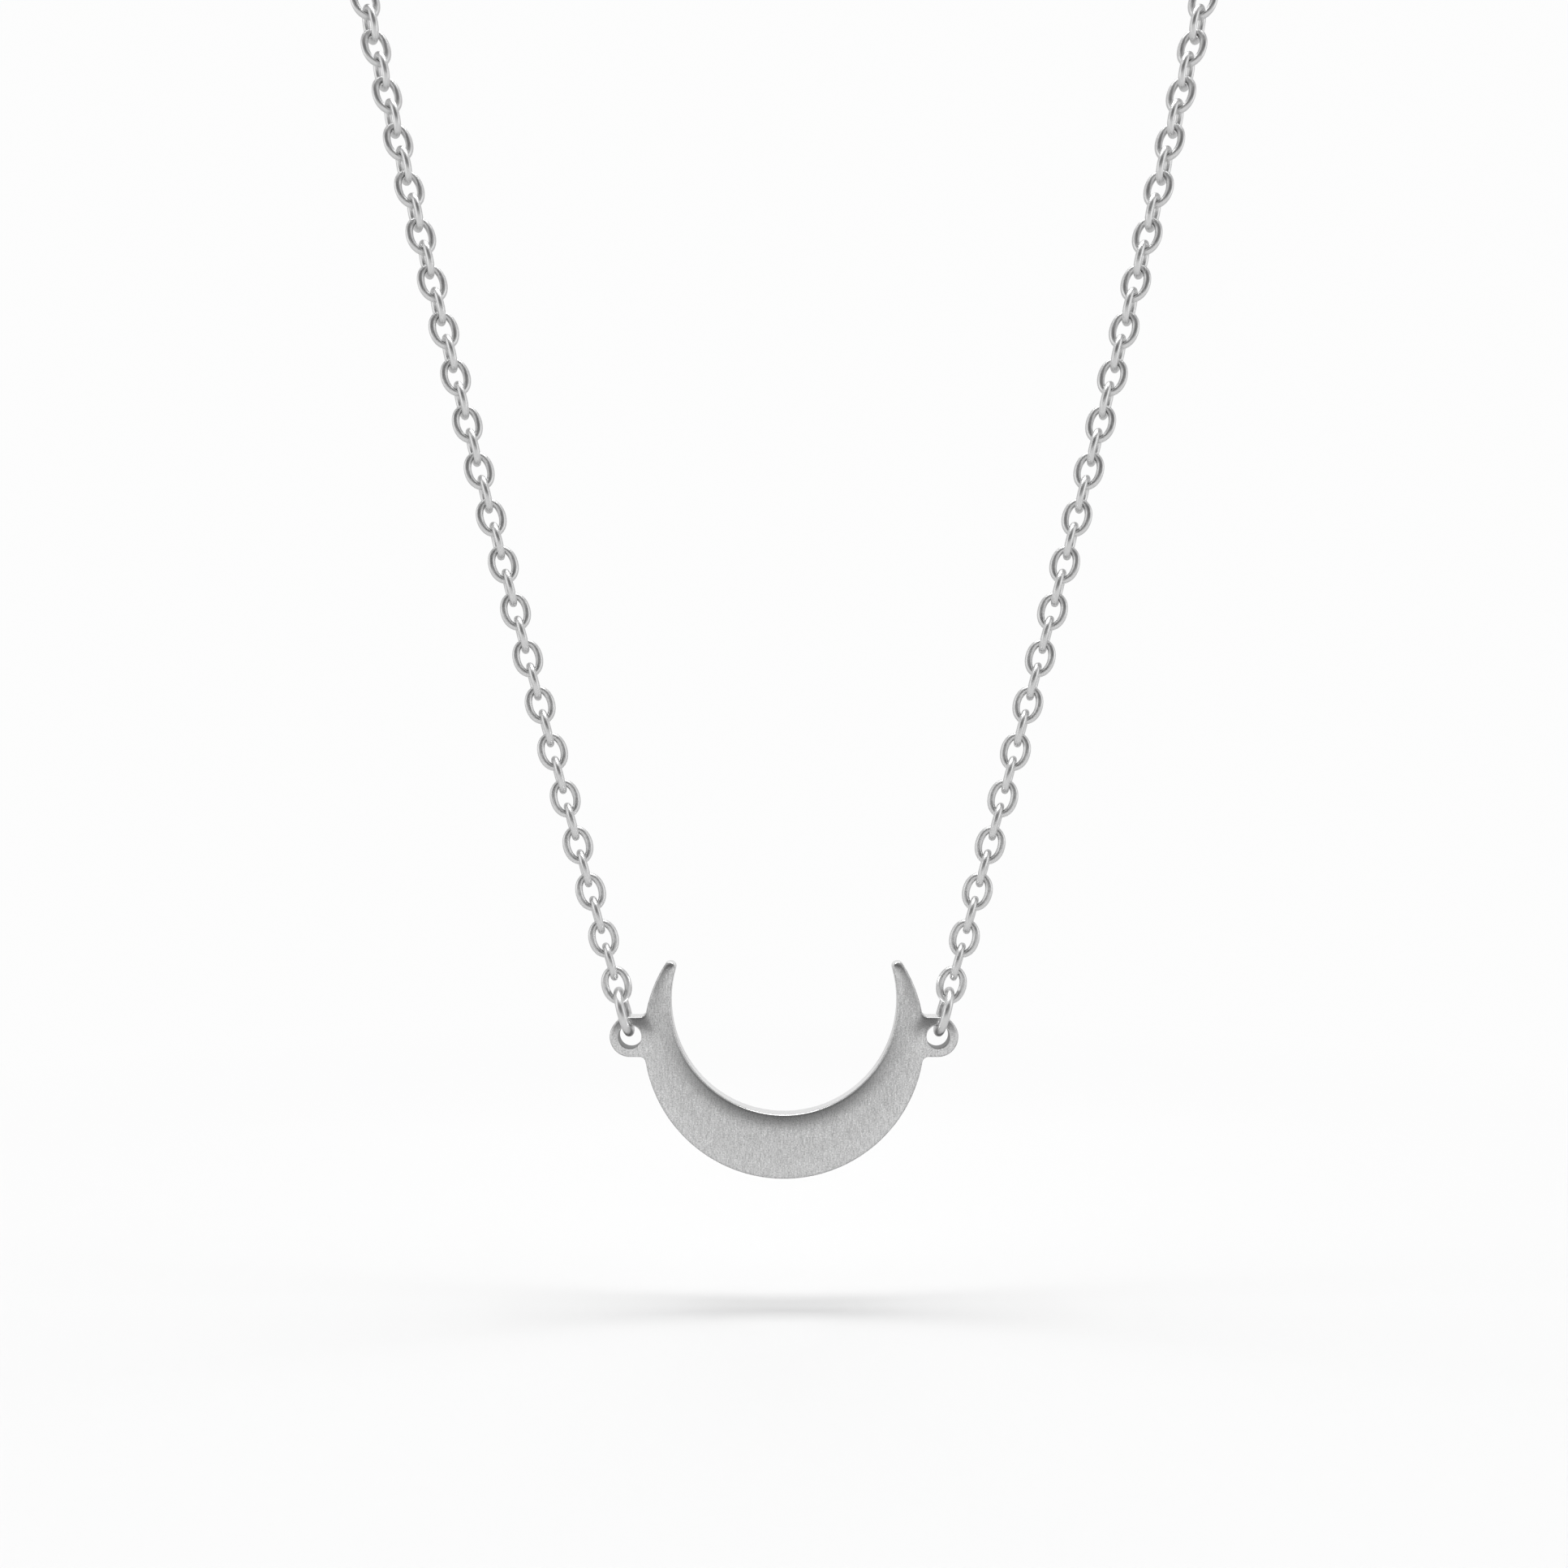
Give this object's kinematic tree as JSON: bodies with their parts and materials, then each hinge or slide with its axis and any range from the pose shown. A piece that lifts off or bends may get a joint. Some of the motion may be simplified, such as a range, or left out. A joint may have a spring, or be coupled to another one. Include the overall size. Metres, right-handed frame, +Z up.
{
  "type": "crescent moon pendant necklace",
  "caption": "Flat crescent moon pendant, horns up, hung by a ring in an eye at each side from a closed loop of oval-link cable chain.",
  "frame": {"origin": "where the back of the neck carries the loop: the underside of the clasp's barrel, at its middle", "axes": "+Z up, with the loop hanging down from the origin; +X to the right as seen from the front; the pendant's front faces -Y"},
  "size_m": [0.0904, 0.0036, 0.1958],
  "materials": {
    "satin_steel": "satin",
    "polished_steel": "polished"
  },
  "bodies": {
    "necklace": {"chain_left": "polished_steel", "chain_right": "polished_steel", "clasp": "polished_steel"},
    "drop": {"crescent": "satin_steel", "ring_left": "polished_steel", "ring_right": "polished_steel"}
  },
  "joints": [
    {"name": "drop_swing", "type": "hinge", "parent": "necklace", "child": "drop", "pos_m": [0, 0, -0.18071], "axis": [1, 0, 0], "range_deg": [-45, 45]}
  ]
}
